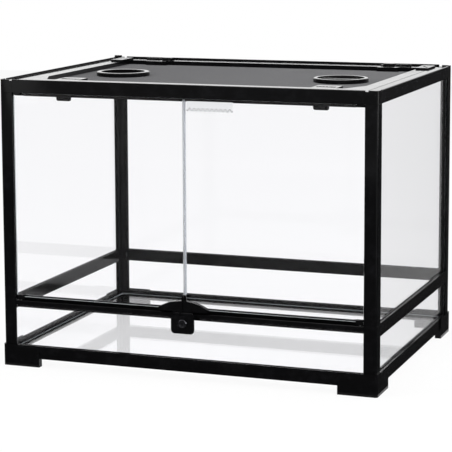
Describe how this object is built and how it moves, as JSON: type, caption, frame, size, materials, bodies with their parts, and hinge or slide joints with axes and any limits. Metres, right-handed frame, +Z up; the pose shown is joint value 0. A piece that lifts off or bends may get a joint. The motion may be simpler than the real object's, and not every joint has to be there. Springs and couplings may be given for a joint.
{
  "type": "glass terrarium",
  "caption": "Front-opening glass terrarium with a black moulded frame, two hinged glass doors with a hasp lock, and a hinged screen lid with cable ports.",
  "frame": {"origin": "on the ground at the middle of the frame's width and depth", "axes": "+X to the right as seen from the doors, -Y the side the doors face, +Z up"},
  "size_m": [0.604, 0.4592, 0.451],
  "materials": {
    "black_frame": "satin moulded",
    "clear_glass": "clear",
    "steel_pins": "satin",
    "lock_metal": "satin",
    "screen_wire": "satin",
    "seal_strip": "clear soft",
    "pale_film": "satin"
  },
  "bodies": {
    "frame": {"foot_front_left": "black_frame", "foot_front_right": "black_frame", "foot_rear_left": "black_frame", "foot_rear_right": "black_frame", "base_rail_front": "black_frame", "base_rail_rear": "black_frame", "base_rail_left": "black_frame", "base_rail_right": "black_frame", "floor_glass": "clear_glass", "lower_post_front_left": "black_frame", "lower_post_front_right": "black_frame", "lower_post_rear_left": "black_frame", "lower_post_rear_right": "black_frame", "lower_glass_front": "clear_glass", "lower_glass_rear": "clear_glass", "lower_glass_left": "clear_glass", "lower_glass_right": "clear_glass", "door_sill": "black_frame", "middle_rail_rear": "black_frame", "middle_rail_left": "black_frame", "middle_rail_right": "black_frame", "upper_post_front_left": "black_frame", "upper_post_front_right": "black_frame", "upper_post_rear_left": "black_frame", "upper_post_rear_right": "black_frame", "upper_glass_rear": "clear_glass", "upper_glass_left": "clear_glass", "upper_glass_right": "clear_glass", "top_rail_front": "black_frame", "top_rail_rear": "black_frame", "top_rail_left": "black_frame", "top_rail_right": "black_frame", "top_corner_front_left": "black_frame", "top_corner_front_right": "black_frame", "top_corner_rear_left": "black_frame", "top_corner_rear_right": "black_frame", "door_hinge_pins": "steel_pins", "lid_hinge_clips": "black_frame", "lid_hinge_pins": "steel_pins"},
    "left_door": {"left_door_glass": "clear_glass", "left_hinge_shoes": "black_frame", "left_handle": "black_frame", "hasp_pin": "steel_pins"},
    "right_door": {"right_door_glass": "clear_glass", "right_hinge_shoes": "black_frame", "right_handle": "black_frame", "door_seal": "seal_strip", "fill_line_strip": "pale_film"},
    "hasp": {"hasp_plate": "black_frame", "lock_barrel": "lock_metal"},
    "plug": {"lock_plug": "lock_metal"},
    "lid": {"lid_frame": "black_frame", "lid_screen": "screen_wire", "port_ring_left": "black_frame", "port_ring_right": "black_frame"},
    "cap": {"port_cap": "black_frame"},
    "lock_left": {"lid_lock_left": "black_frame"},
    "lock_right": {"lid_lock_right": "black_frame"},
    "cover_left": {"inlet_cover_left": "black_frame"},
    "cover_right": {"inlet_cover_right": "black_frame"}
  },
  "joints": [
    {"name": "left_door_hinge", "type": "hinge", "parent": "frame", "child": "left_door", "pos_m": [-0.2735, -0.2195, 0.1093], "axis": [0, 0, -1], "range_deg": [0, 110]},
    {"name": "right_door_hinge", "type": "hinge", "parent": "frame", "child": "right_door", "pos_m": [0.2735, -0.2195, 0.1093], "axis": [0, 0, 1], "range_deg": [0, 110]},
    {"name": "hasp_hinge", "type": "hinge", "parent": "left_door", "child": "hasp", "pos_m": [0, -0.2299, 0.104], "axis": [-1, 0, 0], "range_deg": [0, 75]},
    {"name": "lock_plug_turn", "type": "hinge", "parent": "hasp", "child": "plug", "pos_m": [0, -0.2299, 0.0884], "axis": [0, -1, 0], "range_deg": [0, 90]},
    {"name": "lid_hinge", "type": "hinge", "parent": "frame", "child": "lid", "pos_m": [0, 0.199, 0.444], "axis": [-1, 0, 0], "range_deg": [0, 85]},
    {"name": "port_cap_turn", "type": "hinge", "parent": "lid", "child": "cap", "pos_m": [0.183, -0.019, 0.4392], "axis": [0, 0, 1], "range_deg": [0, 60]},
    {"name": "lid_lock_left_slide", "type": "slide", "parent": "lid", "child": "lock_left", "axis": [-1, 0, 0], "range_m": [0, 0.008]},
    {"name": "lid_lock_right_slide", "type": "slide", "parent": "lid", "child": "lock_right", "axis": [1, 0, 0], "range_m": [0, 0.008]},
    {"name": "inlet_cover_left_slide", "type": "slide", "parent": "frame", "child": "cover_left", "axis": [-1, 0, 0], "range_m": [0, 0.017]},
    {"name": "inlet_cover_right_slide", "type": "slide", "parent": "frame", "child": "cover_right", "axis": [1, 0, 0], "range_m": [0, 0.017]}
  ]
}
